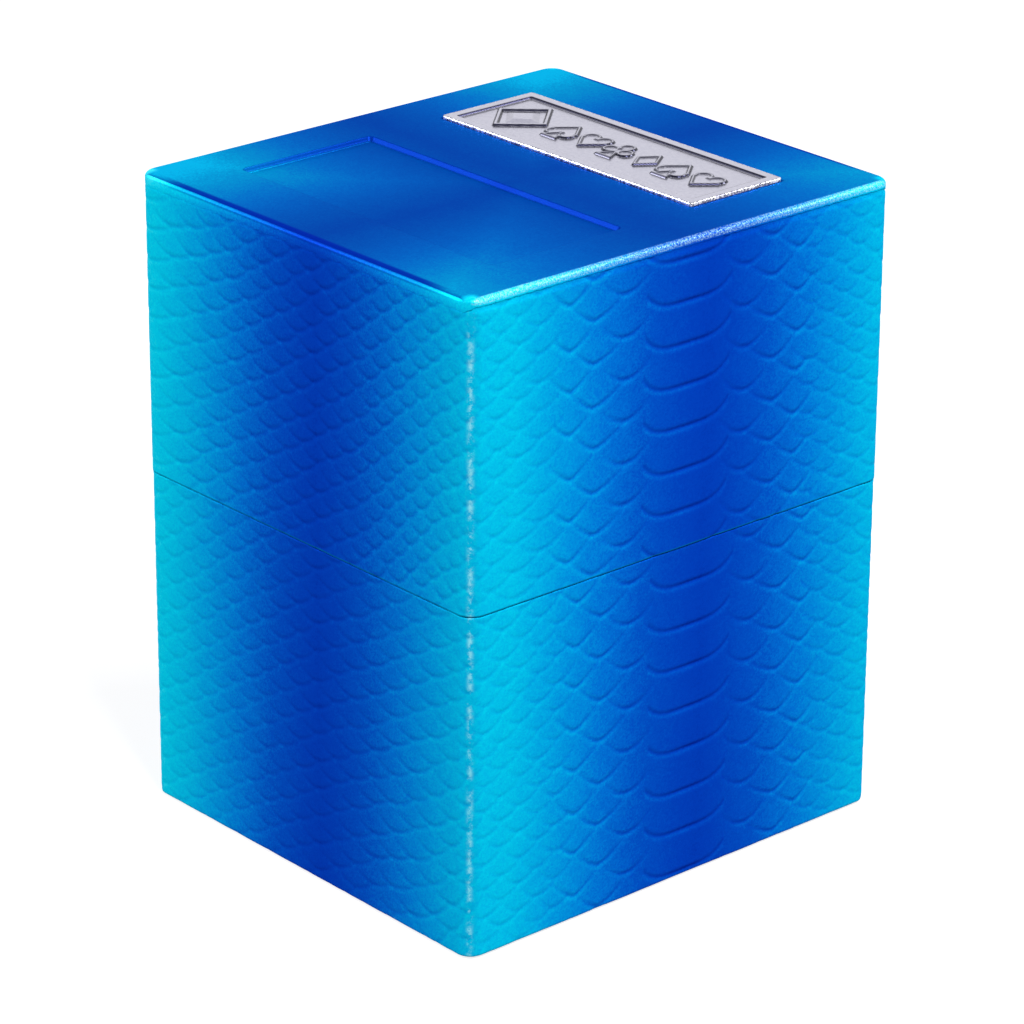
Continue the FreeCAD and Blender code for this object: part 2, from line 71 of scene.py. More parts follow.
WRAP_THICKNESS = TOP_HIGH[0] - BOARD_HIGH[0]
SKIN_THICKNESS = TOP_HIGH[2] - BOARD_HIGH[2]
FOLD = 0.5  # leatherette folded round a rim
FLAP = 0.4  # leatherette turned in behind a rim
FLAP_INSETS = {
    "lid": TOP_HIGH[0] - node_box("lid_lining")[1][0] + FLAP,
    "base": WRAPS["base"][1][0] - node_box("neck_cover")[1][0],
}
FLAP_LENGTH = 10.5  # a wrap is turned in behind its rim this far
FOLD_UNDER = 8.0  # the base's wrap runs on under the bottom this far in
CORNER_RADII = {"lid": 3.0, "base": 2.9}
SEAM = (WRAPS["lid"][0][2] + WRAPS["base"][1][2]) / 2.0 * METRES
RIM_RADII = {"lid": 0.15, "base": 0.22}  # the edges that meet at the seam
RIM_SAG = 0.03  # the lid's folded rim hangs this much below its wall
SEAM_SHADING_END, SEAM_SHADING_WIDTH = 0.34, 0.2  # where the painted light and shade of the seam on the rims ends, and how softly
FOOT_RADIUS = 0.5
STEP = 0.25  # grid of the embossed walls
RIM_ROWS = (0.0, 0.06, 0.12, 0.18, 0.36)  # rows beside the seam, from it

WALL_TOP = WRAPS["lid"][1][2]
FRONT_BAND = WALL_TOP + 0.1  # the top's leatherette turns down to here in front and behind
SIDE_BAND = WALL_TOP + 0.85  # and to here at the sides
WRAP_TOP = WALL_TOP + 1.0  # the lid's wrap runs up behind it to here
TUCK_DEPTH, TUCK_WIDTH = 0.15, 0.6  # the lid's wrap draws in where it goes behind it

# ---------------------------------------------------------------- mesh helpers


def add_object(name, data, location=(0.0, 0.0, 0.0)):
    """A new object in the scene."""
    thing = bpy.data.objects.new(name, data)
    thing.location = location
    bpy.context.scene.collection.objects.link(thing)
    return thing


def make_object(name, points, faces, material, body, replaced, attributes=None):
    """A smooth-shaded mesh piece from points in millimetres."""
    mesh = bpy.data.meshes.new(name)
    mesh.from_pydata((np.asarray(points) * METRES).tolist(), [], faces)
    for label, values in (attributes or {}).items():
        layer = mesh.attributes.new(label, "FLOAT", "POINT")
        layer.data.foreach_set("value", np.asarray(values, dtype=np.float32))
    mesh.polygons.foreach_set("use_smooth", [True] * len(mesh.polygons))
    mesh.set_sharp_from_angle(angle=SHARP)
    mesh.materials.append(material)
    mesh.update()
    piece = add_object(name, mesh)
    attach(piece, body)
    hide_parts(replaced)
    return piece


def grid_faces(rows, columns, wrap_rows=False, wrap_columns=False):
    """Quads of a grid of points numbered row by row."""
    row = np.arange(rows if wrap_rows else rows - 1)
    column = np.arange(columns if wrap_columns else columns - 1)
    r, c = np.meshgrid(row, column, indexing="ij")
    next_r, next_c = (r + 1) % rows, (c + 1) % columns
    corners = (r * columns + c, r * columns + next_c, next_r * columns + next_c,
               next_r * columns + c)
    return np.stack([k.ravel() for k in corners], axis=1).tolist()


def smooth(x):
    """A soft step: 0 up to 0, 1 from 1 on."""
    x = np.clip(x, 0.0, 1.0)
    return x * x * (3.0 - 2.0 * x)


# ---------------------------------------------------------------- the outline of the walls


class Outline:
    """A rounded rectangle round the Z axis, walked anticlockwise from the front left corner.

    place is the distance walked along the sides as if the corners were sharp.
    """

    def __init__(self, half_x, half_y, radius, step):
        self.half = np.array((half_x, half_y))
        self.radius = radius
        self.length = 4.0 * (half_x + half_y)
        columns = []
        walked = 0.0
        turns = (0.0, 90.0, 180.0, 270.0)
        for turn, along, out in zip(turns, (half_x, half_y) * 2, (half_y, half_x) * 2):
            columns += self._side(turn, along, out, walked, step)
            walked += 2.0 * along
        self.anchor, self.normal, self.pull, self.place, self.roundness = map(
            np.array, zip(*columns))

    def _side(self, turn, along, out, walked, step):
        """Columns of one straight side and of the corner at its end.

        Each is its anchor, its outward normal, the way it is pulled once it lies further in than
        the corner's radius, its place and its roundness.
        """
        spin = Matrix.Rotation(math.radians(turn), 2)
        radius, straight = self.radius, along - self.radius
        columns = []
        count = max(2, round(2.0 * straight / step))
        for k in range(count):
            x = -straight + 2.0 * straight * k / count
            normal = spin @ Vector((0.0, -1.0))
            anchor = spin @ Vector((x, radius - out))
            columns.append((anchor, normal, normal, walked + along + x, 0.0))
        count = max(4, round(math.pi / 2.0 * radius / step))
        diagonal = spin @ Vector((1.0, -1.0))
        for k in range(count):
            share = k / count
            angle = math.radians(-90.0 + 90.0 * share)
            normal = spin @ Vector((math.cos(angle), math.sin(angle)))
            anchor = spin @ Vector((straight, radius - out))
            place = walked + along + straight + 2.0 * radius * share
            columns.append((anchor, normal, diagonal, place, math.sin(math.pi * share)))
        return columns

    def ring(self, inset):
        """Points of the outline moved inwards, by one distance or by one for each column."""
        inset = np.broadcast_to(inset, self.place.shape)[:, None]
        outward = np.maximum(self.radius - inset, 0.0)
        beyond = np.maximum(inset - self.radius, 0.0)
        points = self.anchor + self.normal * outward - self.pull * beyond
        return np.clip(points, inset - self.half, self.half - inset)


# ---------------------------------------------------------------- scales of the leatherette

# A scale hangs from its neighbours: its tip is its lowest point, and its lower edges run from
# there to the tips of the scales up to its right and up to its left. right and left give how
# far and how high they run, bend the power of their curve, and fades how much each of them
# flattens out on the way.
Scale = namedtuple("Scale", "place level right left bend size strength fades")
# A station of a flank, by its distance from the belly: the steps from a tip to the next tip up
# towards the belly and to the next tip up away from it, and how deep the scales are pressed.
Station = namedtuple("Station", "distance inward outward strength")
# A column of wide scales beside the belly: its distance, how far its tips hang below the
# belly's, its half width and rise towards the belly and away from it, and its bend.
Column = namedtuple("Column", "distance drop inward outward bend")
# One belly and its two flanks, the left one at -1 and the right one at 1: the place of the
# belly's middle, its first tip and the spacing of its scales, then their half width, rise and
# bend. anchor is the distance and level of one tip of a flank, reach where its scales end.
Skin = namedtuple("Skin", "belly first_tip period half_width rise bend columns flanks anchor reach")

LIFT = 0.12  # a scale rises this much towards its lower edge
EDGE_DROP = 0.30  # the lower edge rounds over by this much
EDGE_WIDTH, EDGE_POWER = 0.75, 2.4
GROOVE_DEPTH = 0.20  # the hollow under a lower edge
GROOVE_WIDTH, GROOVE_POWER = 1.30, 2.0
DEEPEST = -0.42
CREASE_WIDTH = 0.5  # of the painted shade line along a lower edge and of the painted highlight line under it
DARK_LINE, LIGHT_LINE = (0.8, 0.05), (0.7, -0.60)  # painted shade line and painted highlight line: strength and height above the edge
FADE_PACE = 1.2  # a lower edge has faded before it ends
COVER = 1.7  # a scale runs on under the scales above it, in its own heights

WIDE_SWAY, WIDE_SWAY_UP, FLANK_SWAY = 0.25, 0.12, 0.3  # random shifts of a tip
FLANK_DEPTHS, FLANK_STRETCH = (0.75, 1.15), (1.02, 1.16)  # random factors
BELOW, ABOVE = 8.0, 4.0  # scales are laid this far beyond a wall's ends
WIDE_STRENGTH, WIDE_FADES = 1.0, (0.45, 0.45)
COLUMN_STRENGTH, COLUMN_FADES = 0.62, (0.72, 0.72)
FLANK_BEND, FLANK_FADES = 1.9, (0.82, 0.40)  # away from the belly and towards it
FLANK_TIPS = (range(-40, 41), range(-60, 110))  # numbers tried for a flank's tips

LID_SKIN = Skin(
    belly=126.1, first_tip=106.9, period=6.97, half_width=9.1, rise=2.7, bend=4.2,
    columns={
        -1: [Column(12.9, 2.7, (5.0, 2.6), (4.7, 2.3), 1.9),
             Column(19.5, 5.9, (6.6, 3.2), (5.0, 3.7), 1.5),
             Column(24.5, 9.4, (5.0, 3.5), (4.4, 3.4), 1.4)],
        1: [Column(12.4, 3.7, (5.0, 2.9), (4.7, 2.6), 1.9),
            Column(18.5, 7.1, (6.1, 3.4), (5.2, 3.5), 1.5),
            Column(23.7, 10.6, (5.2, 3.5), (4.2, 3.4), 1.4)],
    },
    flanks={
        -1: [Station(27.0, (3.5, 2.1), (3.6, 2.5), 0.32),
             Station(41.0, (3.4, 2.2), (3.2, 2.4), 0.33),
             Station(53.0, (2.9, 2.1), (2.9, 2.3), 0.38),
             Station(70.0, (3.2, 2.25), (3.4, 2.4), 0.42),
             Station(85.5, (3.75, 2.25), (4.0, 2.25), 0.44),
             Station(103.0, (4.35, 2.25), (4.5, 2.3), 0.38),
             Station(113.0, (5.2, 2.3), (5.3, 2.5), 0.34),
             Station(121.0, (6.3, 2.3), (6.3, 2.8), 0.32),
             Station(133.0, (6.8, 2.3), (6.8, 2.8), 0.32)],
        1: [Station(26.5, (3.6, 2.1), (3.6, 2.5), 0.32),
            Station(49.0, (3.8, 2.3), (3.6, 2.3), 0.30)],
    },
    anchor={-1: (83.3, 95.5), 1: (35.0, 84.0)},
    reach={-1: 127.0, 1: 45.5},
)

BASE_SKIN = Skin(
    belly=127.5, first_tip=52.1, period=7.24, half_width=8.9, rise=2.4, bend=4.2,
    columns={
        -1: [Column(12.9, 3.7, (5.1, 2.6), (4.7, 2.8), 1.9),
             Column(19.1, 7.6, (6.2, 3.6), (4.9, 3.4), 1.5),
             Column(24.2, 11.2, (5.1, 3.5), (4.3, 3.3), 1.4)],
        1: [Column(13.1, 3.0, (5.0, 2.7), (4.8, 2.9), 1.9),
            Column(19.7, 6.6, (6.6, 3.4), (5.1, 3.6), 1.5),
            Column(25.0, 10.2, (5.3, 3.5), (4.4, 3.4), 1.4)],
    },
    flanks={
        -1: [Station(27.0, (3.8, 2.5), (3.8, 2.4), 0.32),
             Station(44.0, (3.6, 2.2), (3.6, 2.3), 0.32),
             Station(54.0, (4.6, 2.6), (4.6, 2.6), 0.35),
             Station(70.0, (5.0, 2.4), (5.0, 2.4), 0.35),
             Station(86.5, (4.4, 2.4), (4.4, 2.4), 0.36),
             Station(105.0, (4.0, 2.3), (4.0, 2.3), 0.30),
             Station(123.0, (3.7, 2.2), (3.7, 2.2), 0.26),
             Station(133.0, (3.7, 2.2), (3.7, 2.2), 0.26)],
        1: [Station(27.0, (4.4, 2.7), (3.9, 2.5), 0.34),
            Station(49.0, (4.2, 2.4), (3.9, 2.3), 0.30)],
    },
    anchor={-1: (81.7, 22.8), 1: (35.0, 29.0)},
    reach={-1: 128.5, 1: 44.0},
)


MARGIN = 10.0  # the lattice runs on past its end stations


class Flank:
    """A diamond lattice of tips, warped so that its cells follow the stations."""

    def __init__(self, stations, anchor):
        distance = np.array([s.distance for s in stations])
        self.d = np.linspace(distance[0] - MARGIN, distance[-1] + MARGIN, 1500)

        def along(values):
            return np.interp(self.d, distance, values)

        inward_x = along([s.inward[0] for s in stations])
        slope = along([s.inward[1] / s.inward[0] for s in stations])
        pitch = along([s.outward[1] + s.outward[0] * s.inward[1] / s.inward[0] for s in stations])
        lean = along([s.outward[0] / s.inward[0] for s in stations])
        gap = np.gradient(self.d)
        self.strength = along([s.strength for s in stations])
        self.fall = np.cumsum(slope * gap)
        self.fall -= np.interp(anchor[0], self.d, self.fall)
        self.count = np.cumsum(gap / inward_x)
        self.pitch, self.lean, self.level = pitch, lean, anchor[1]

    def tip(self, i, j):
        """Distance and level of a tip, or None where the lattice doesn't reach."""
        number = self.count - j * self.lean
        if not number[0] <= i <= number[-1]:
            return None
        d = np.interp(i, number, self.d)
        level = self.level - np.interp(d, self.d, self.fall) + j * np.interp(d, self.d, self.pitch)
        return np.array((d, level))


def jitter(most, count=None):
    """A random shift either way, or several of them."""
    return RANDOM.uniform(-most, most, count)


def belly_scales(skin, low):
    """The wide scutes of the belly and the columns of wide scales on its two sides."""
    wide = (skin.half_width, skin.rise)
    for row in range(-4, int((skin.first_tip - low) / skin.period) + 3):
        tip = skin.first_tip - row * skin.period
        place = skin.belly + jitter(WIDE_SWAY)
        level = tip + jitter(WIDE_SWAY_UP)
        yield Scale(place, level, wide, wide, skin.bend, skin.period, WIDE_STRENGTH, WIDE_FADES)
        for side, columns in skin.columns.items():
            for column in columns:
                place = skin.belly + side * column.distance + jitter(WIDE_SWAY)
                level = tip - column.drop + jitter(WIDE_SWAY)
                right, left = (column.outward, column.inward)[::side]
                yield Scale(place, level, right, left, column.bend, skin.period,
                            COLUMN_STRENGTH, COLUMN_FADES)


def flank_scales(skin, side, low, high):
    """The small scales that fill one flank."""
    flank = Flank(skin.flanks[side], skin.anchor[side])
    nearest = skin.flanks[side][0].distance
    for j, i in itertools.product(*FLANK_TIPS):
        tip = flank.tip(i, j)
        if tip is None or not low - BELOW < tip[1] < high + ABOVE:
            continue
        inward, outward = flank.tip(i - 1, j), flank.tip(i, j + 1)
        if inward is None or outward is None or not nearest <= tip[0] <= skin.reach[side]:
            continue
        strength = np.interp(tip[0], flank.d, flank.strength) * RANDOM.uniform(*FLANK_DEPTHS)
        distance, level = tip + jitter(FLANK_SWAY, 2)
        right, left = (np.abs(outward - tip), np.abs(inward - tip))[::side]
        stretch = RANDOM.uniform(*FLANK_STRETCH)
        yield Scale(skin.belly + side * distance, level, right * stretch, left * stretch,
                    FLANK_BEND, right[1] + left[1], strength, FLANK_FADES[::side])


def crease(across, crease_shading, offset):
    """A soft line of painted shading along a lower edge, an offset above it."""
    return crease_shading * np.clip(1.0 - np.abs(across - offset) / CREASE_WIDTH, 0.0, 1.0)


def press_scale(relief, crease_shading, places, levels, scale, centre):
    """Lays one scale over what is there, and grooves what lies just under its lower edge.

    The painted shading goes below 0 along the lower edge as a shade line, and above 0 just under it
    as a highlight line.
    """
    first, last = np.searchsorted(places, (centre - scale.left[0], centre + scale.right[0]))
    top = scale.level + COVER * scale.size
    low, high = np.searchsorted(levels, (scale.level - GROOVE_WIDTH, top))
    if first == last or low == high:
        return
    x = places[first:last] - centre
    to_right = x >= 0.0
    reach = np.where(to_right, scale.right[0], scale.left[0])
    rise = np.where(to_right, scale.right[1], scale.left[1])
    share = np.abs(x) / reach
    slope = rise * scale.bend * share ** (scale.bend - 1.0) / reach
    height = levels[low:high, None] - scale.level - rise * share ** scale.bend
    across = height / np.sqrt(1.0 + slope * slope)
    fade = np.where(to_right, *scale.fades) * smooth(share * FADE_PACE)
    depth = scale.strength * (1.0 - fade)
    body = LIFT * (1.0 - np.clip(height / scale.size, 0.0, 1.0))
    edge = EDGE_DROP * (1.0 - np.clip(across / EDGE_WIDTH, 0.0, 1.0)) ** EDGE_POWER
    hollow = GROOVE_DEPTH * np.clip(1.0 + across / GROOVE_WIDTH, 0.0, 1.0) ** GROOVE_POWER
    dark = crease(across, *DARK_LINE)
    lit = crease(across, *LIGHT_LINE)
    on_scale = across >= 0.0
    patch = relief[low:high, first:last]
    relief[low:high, first:last] = np.where(on_scale, depth * (body - edge), patch - depth * hollow)
    # painted shade along the lower edge, painted highlight just under it
    patch = crease_shading[low:high, first:last]
    crease_shading[low:high, first:last] = np.where(on_scale, -depth * dark, patch + depth * (lit - dark))


def emboss(skin, places, levels, length):
    """Relief and painted shading over a grid of levels and places, painted from the lowest scale
    up.

    The pattern comes round twice, so walls that face away from each other match.
    """
    scales = list(belly_scales(skin, levels[0]))
    for side in skin.flanks:
        scales += list(flank_scales(skin, side, levels[0], levels[-1]))
    relief = np.full((len(levels), len(places)), -GROOVE_DEPTH)
    crease_shading = np.zeros_like(relief)
    for scale in sorted(scales, key=lambda s: s.level):
        for turn in range(-2, 3):
            centre = scale.place + turn * length / 2.0
            press_scale(relief, crease_shading, places, levels, scale, centre)
    return np.clip(relief, DEEPEST, LIFT), np.clip(crease_shading, -1.0, 1.0)


# ---------------------------------------------------------------- the wall wraps


def wall_levels(low, high, seam_on_top):
    """Heights of a wall's rows, closer together beside the seam."""
    rest = np.linspace(RIM_ROWS[-1], high - low, round((high - low) / STEP))
    offsets = np.concatenate([RIM_ROWS[:-1], rest])
    return high - offsets[::-1] if seam_on_top else low + offsets


def drawn_in(levels, part, seam, far):
    """How far a wrap's rows draw in at its rim and at its far end."""
    rounding = round_over(np.abs(levels - seam), RIM_RADII[part])
    if part == "base":
        return rounding + round_over(levels - far, FOOT_RADIUS)
    return rounding + TUCK_DEPTH * smooth((levels - FRONT_BAND + TUCK_WIDTH / 2.0) / TUCK_WIDTH)


def build_wall(name, part, skin, material):
    """A wrap round four walls: embossed outside, folded over its rim and turned in behind it."""
    low, high = WRAPS[part]
    is_base = part == "base"
    outline = Outline(high[0], high[1], CORNER_RADII[part], STEP)
    bottom, top = (low[2], high[2]) if is_base else (low[2] - RIM_SAG, WRAP_TOP)
    seam, far = (top, bottom) if is_base else (bottom, top)
    levels = wall_levels(bottom, top, is_base)
    relief, crease_shading = emboss(skin, outline.place, levels, outline.length)
    insets = list(LIFT - relief + drawn_in(levels, part, seam, far)[:, None])
    section = behind_wall(FLAP_INSETS[part], seam, far, is_base)
    insets += [inset for inset, _ in section]
    heights = list(levels) + [height for _, height in section]
    rows, columns = len(insets), len(outline.place)
    points = np.concatenate([
        np.column_stack([outline.ring(inset), np.full(columns, height)])
        for inset, height in zip(insets, heights)
    ])
    faces = grid_faces(rows, columns, wrap_rows=True, wrap_columns=True)
    # the rows beside the seam, which carry the painted light and shade of the seam
    seam_shading_share = np.clip((SEAM_SHADING_END - np.abs(levels - seam)) / SEAM_SHADING_WIDTH, 0.0, 1.0)
    attributes = {
        # the painted shade and highlight along the scales' edges
        "crease_shading": np.concatenate([crease_shading, np.zeros((len(section), columns))]).ravel(),
        # where the upright corners get painted glints
        "corner": np.tile(outline.roundness, rows),
        "rim": np.repeat(np.concatenate([seam_shading_share, np.zeros(len(section))]), columns),
    }
    make_object(name, points, faces, material, part, f"{part}_wrap", attributes)


def behind_wall(flap_inset, seam, far, is_base):
    """Insets and heights of the wrap's unseen side, from its last row round to its first.

    The lid's starts at the top of the wall; the base's starts at the seam and ends turned under
    the bottom.
    """
    inward = -1.0 if is_base else 1.0
    end = seam + inward * FLAP_LENGTH
    rim = seam + inward * FOLD
    section = [(flap_inset, seam), (flap_inset, end), (flap_inset - FLAP, end),
               (flap_inset - FLAP, rim), (WRAP_THICKNESS, rim)]
    if not is_base:
        return [(WRAP_THICKNESS, far)] + section[::-1]
    return section + [(WRAP_THICKNESS, far + FOLD), (FOLD_UNDER, far + FOLD), (FOLD_UNDER, far)]


def round_over(distance, radius):
    """How far a surface draws in as it comes within a radius of its edge."""
    short = np.clip(radius - distance, 0.0, radius)
    return radius - np.sqrt(np.maximum(radius * radius - short * short, 0.0))


# ---------------------------------------------------------------- the top and the nameplate


def grid_lines(low, high, walls, coarse, fine, reach):
    """Grid lines that crowd together beside each wall."""
    lines = [np.arange(low, high, coarse), [high]]
    for wall in walls:
        lines.append(np.arange(wall - reach, wall + reach, fine))
    lines = np.unique(np.round(np.concatenate(lines), 3))
    lines = lines[(lines >= low) & (lines <= high)]
    keep = np.concatenate([[True], np.diff(lines) > fine * 0.6])
    keep[-1] = True
    return lines[keep]


def inside_box(x, y, centre, half, radius):
    """Distance in from the edge of a rounded rectangle, negative outside."""
    dx, dy = np.abs(x - centre[0]) - half[0] + radius, np.abs(y - centre[1]) - half[1] + radius
    outside = np.hypot(np.maximum(dx, 0.0), np.maximum(dy, 0.0))
    return radius - outside - np.minimum(np.maximum(dx, dy), 0.0)


def round_corners(x, y, half, radius):
    """Presses the square of grid points at each corner into a quarter disc."""
    u = np.maximum(np.abs(x) - (half[0] - radius), 0.0) / radius
    v = np.maximum(np.abs(y) - (half[1] - radius), 0.0) / radius
    far, near = np.maximum(u, v), np.minimum(u, v)
    angle = near / np.maximum(far, 1e-9) * math.pi / 4.0
    along, across = far * np.cos(angle), far * np.sin(angle)
    corner = (u > 0.0) & (v > 0.0)
    new_u, new_v = np.where(u >= v, along, across), np.where(u >= v, across, along)
    x = np.where(corner, np.sign(x) * (half[0] - radius + radius * new_u), x)
    y = np.where(corner, np.sign(y) * (half[1] - radius + radius * new_v), y)
    return x, y


def rim_of(rows, columns):
    """Numbers of the points round the edge of a grid, anticlockwise from its first point."""
    rim = list(range(columns))
    rim += [r * columns + columns - 1 for r in range(1, rows)]
    rim += [(rows - 1) * columns + c for c in range(columns - 2, -1, -1)]
    return rim + [r * columns for r in range(rows - 2, 0, -1)]


def steepness(x, y, z):
    """The slope of a surface over a grid."""
    down = np.gradient(z, axis=0) / np.maximum(np.gradient(y, axis=0), 1e-6)
    across = np.gradient(z, axis=1) / np.maximum(np.gradient(x, axis=1), 1e-6)
    return np.hypot(down, across)


def under_side(top, half, wall, skin):
    """A shell's inner surface: the top moved down by its skin and in by its wall."""
    shrink = ((half[0] - wall) / half[0], (half[1] - wall) / half[1], 1.0)
    under = top * shrink - (0, 0, skin)
    under[:, 2] = np.minimum(under[:, 2], TOP_HIGH[2] - skin)
    return under


def side_faces(loops):
    """Quads from each loop of point numbers down to the next one."""
    faces = []
    for upper, lower in zip(loops, loops[1:]):
        for k in range(len(upper)):
            after = (k + 1) % len(upper)
            faces.append([upper[after], upper[k], lower[k], lower[after]])
    return faces


def slab(xs, ys, height, low, half, radius, shell=None):
    """A closed piece with a modelled top, upright sides and rounded plan corners.

    Its underside is flat, or with shell = (wall, skin) it follows the top at the skin's depth
    inside a wall that stands round its edge. Returns points, faces and the slope at each point.
    """
    x, y = np.meshgrid(xs, ys)
    depth = np.minimum(half[0] - np.abs(x), half[1] - np.abs(y))
    px, py = round_corners(x, y, half, radius)
    z = height(px, py, depth)
    top = np.column_stack([px.ravel(), py.ravel(), z.ravel()])
    faces = grid_faces(*x.shape)
    rim = rim_of(*x.shape)
    foot = top[rim].copy()
    foot[:, 2] = low(foot[:, 0], foot[:, 1]) if callable(low) else low
    rings = [foot]
    if shell:
        under = under_side(top, half, *shell)
        inner_foot = under[rim].copy()
        inner_foot[:, 2] = foot[:, 2]
        rings.append(inner_foot)
    starts = [len(top) + ring * len(rim) for ring in range(len(rings) + 1)]
    loops = [rim] + [list(range(*ends)) for ends in zip(starts, starts[1:])]
    if shell:
        offset = starts[-1]
        faces += [[offset + corner for corner in face[::-1]] for face in grid_faces(*x.shape)]
        loops.append([offset + corner for corner in rim])
        rings.append(under)
    else:
        faces.append(loops[-1][::-1])
    faces += side_faces(loops)
    points = np.concatenate([top] + rings)
    slopes = np.zeros(len(points))
    slopes[:len(top)] = steepness(px, py, z).ravel()
    return points, faces, slopes


TOP_INSET = 0.05  # at the sides, inside the CAD's skin
TOP_SINK = 0.02  # and at the top
TOP_EDGE = 1.1  # radius of the top's edge
TOP_GRID = (0.7, 0.11, 1.6)  # coarse and fine spacing, and how far the fine one reaches
RECESS_CENTRE, RECESS_HALF, RECESS_CORNER = (0.0, -18.1), (30.25, 13.3), 0.9
RECESS_DEPTH = 0.9
RECESS_WALL = 0.6  # width of the panel's sloping wall
SAG, SAG_WIDTH = 0.06, 2.0  # the leatherette sags towards the panel
SEAT_MARGIN, SEAT_CORNER = 0.1, 0.6  # the hollow that the nameplate sits in
SEAT_DEPTH, SEAT_WALL = 0.55, 0.36
BAND_TURN = 12.0  # how sharply the turned band steps up at the corners


def build_top(material):
    """The lid's smooth leatherette, with its pressed panel, turned down over the top edge."""
    half = (TOP_HIGH[0] - TOP_INSET, TOP_HIGH[1] - TOP_INSET)
    across = [side * wall for side in (-1, 1) for wall in (RECESS_HALF[0], PLATE_HALF[0], half[0])]
    along = [centre + side * wall for side in (-1, 1)
             for centre, wall in ((RECESS_CENTRE[1], RECESS_HALF[1]),
                                  (PLATE_CENTRE[1], PLATE_HALF[1]), (0.0, half[1]))]
    xs = grid_lines(-half[0], half[0], across, *TOP_GRID)
    ys = grid_lines(-half[1], half[1], along, *TOP_GRID)

    def height(x, y, depth):
        pressed = inside_box(x, y, RECESS_CENTRE, RECESS_HALF, RECESS_CORNER)
        seat = inside_box(x, y, PLATE_CENTRE, PLATE_HALF + SEAT_MARGIN, SEAT_CORNER)
        panel = RECESS_DEPTH * smooth(0.5 + pressed / RECESS_WALL)
        soft = SAG * smooth(1.0 - np.abs(pressed) / SAG_WIDTH) * (pressed < 0.0)
        sunk = SEAT_DEPTH * smooth(0.5 + seat / SEAT_WALL)
        return TOP_HIGH[2] - TOP_SINK - round_over(depth, TOP_EDGE) - panel - soft - sunk

    def band_edge(x, y):
        lean = (np.abs(x) / half[0] - np.abs(y) / half[1]) * BAND_TURN
        wave = 0.07 * np.sin(x * 1.9 + 0.4) + 0.05 * np.sin(x * 4.3 + y * 3.1)
        return FRONT_BAND + (SIDE_BAND - FRONT_BAND) * smooth(0.5 + lean) + wave

    radius = CORNER_RADII["lid"] - TOP_INSET
    points, faces, slopes = slab(xs, ys, height, band_edge, half, radius,
                                 (WRAP_THICKNESS, SKIN_THICKNESS))
    # edge: how steep the top is; its slopes are painted darker as painted shade
    attributes = {"edge": smooth((slopes - 0.1) / 0.9)}
    make_object("top_leatherette", points, faces, material, "lid",
                "lid_top_skin", attributes)


# The shapes of the motif: each gives the distance in from its edge, negative outside. The suits
# are drawn in a square of about 2 by 2.

def disc(x, y, centre, radius):
    return radius - np.hypot(x - centre[0], y - centre[1])


def lozenge(x, y, half_x, half_y):
    inside = 1.0 - np.abs(x) / half_x - np.abs(y) / half_y
    return inside * half_x * half_y / np.hypot(half_x, half_y)


def stem(x, y):
    return np.minimum(0.16 - np.abs(x) + 0.5 * np.maximum(-0.25 - y, 0.0), 0.5 - np.abs(y + 0.45))


def diamond_suit(x, y):
    return lozenge(x, y, 0.62, 0.88)


def heart_suit(x, y):
    lobes = np.maximum(disc(x, y, (-0.37, 0.34), 0.42), disc(x, y, (0.37, 0.34), 0.42))
    point = lozenge(x, y - 0.10, 0.80, 0.96)
    return np.maximum(lobes, np.minimum(point, 0.32 - (y - 0.05)))


def spade_suit(x, y):
    return np.maximum(heart_suit(x, 0.1 - y), stem(x, y))


def club_suit(x, y):
    leaves = [disc(x, y, centre, 0.38) for centre in ((0.0, 0.45), (-0.42, -0.08), (0.42, -0.08))]
    return np.maximum.reduce(leaves + [stem(x, y), disc(x, y, (0.0, 0.1), 0.28)])


SUITS = (spade_suit, heart_suit, club_suit, diamond_suit)
PLATE_GRID = (0.13, 0.06, 0.4)
PLATE_CORNER = 0.6
PLATE_RIM = 1.9
PLATE_FIELD = 0.4  # the field lies this much below the rim
PLATE_SLOPE = 0.3
PLATE_EDGE = 0.25
PLATE_GLINT_WIDTH = 0.2  # width of the line of painted glints inside the plate's edge
FIELD_CORNER, FIELD_MARGIN = 0.15, 0.5
MOTIF_RISE = 0.36
MOTIF_SLOPE = 0.24
EMBLEM_AT = -21.0
EMBLEM_HALF = (6.2, 6.8)
EMBLEM_LINE, EMBLEM_LINE_SLOPE = 0.7, 0.3
FACET_HALF, FACET_SLOPE = (EMBLEM_HALF[0] - 2.2, EMBLEM_HALF[1] - 2.9), 1.2
SUIT_SIZE = 4.1
SUIT_LINE, SUIT_HOLLOW = 0.5, 0.65  # width of a suit's outline, and how deep its middle is
SUIT_FIRST, SUIT_STEP, SUIT_COUNT = -10.6, 6.6, 6


def motif_height(x, y):
    """A faceted lozenge and a row of card suits, raised on the plate's field."""
    emblem = lozenge(x - EMBLEM_AT, y, *EMBLEM_HALF)
    within = smooth((emblem - EMBLEM_LINE) / EMBLEM_LINE_SLOPE)
    raised = MOTIF_RISE * smooth(emblem / MOTIF_SLOPE) * (1.0 - within)
    facet = lozenge(x - EMBLEM_AT, y, *FACET_HALF)
    raised = np.maximum(raised, np.clip(facet / FACET_SLOPE, 0.0, 1.0) * MOTIF_RISE)
    for k in range(SUIT_COUNT):
        across = (x - SUIT_FIRST - k * SUIT_STEP) / SUIT_SIZE
        suit = SUITS[k % len(SUITS)](across, y / SUIT_SIZE) * SUIT_SIZE
        hollow = SUIT_HOLLOW * smooth((suit - SUIT_LINE) / MOTIF_SLOPE)
        raised = np.maximum(raised, MOTIF_RISE * (smooth(suit / MOTIF_SLOPE) - hollow))
    return raised


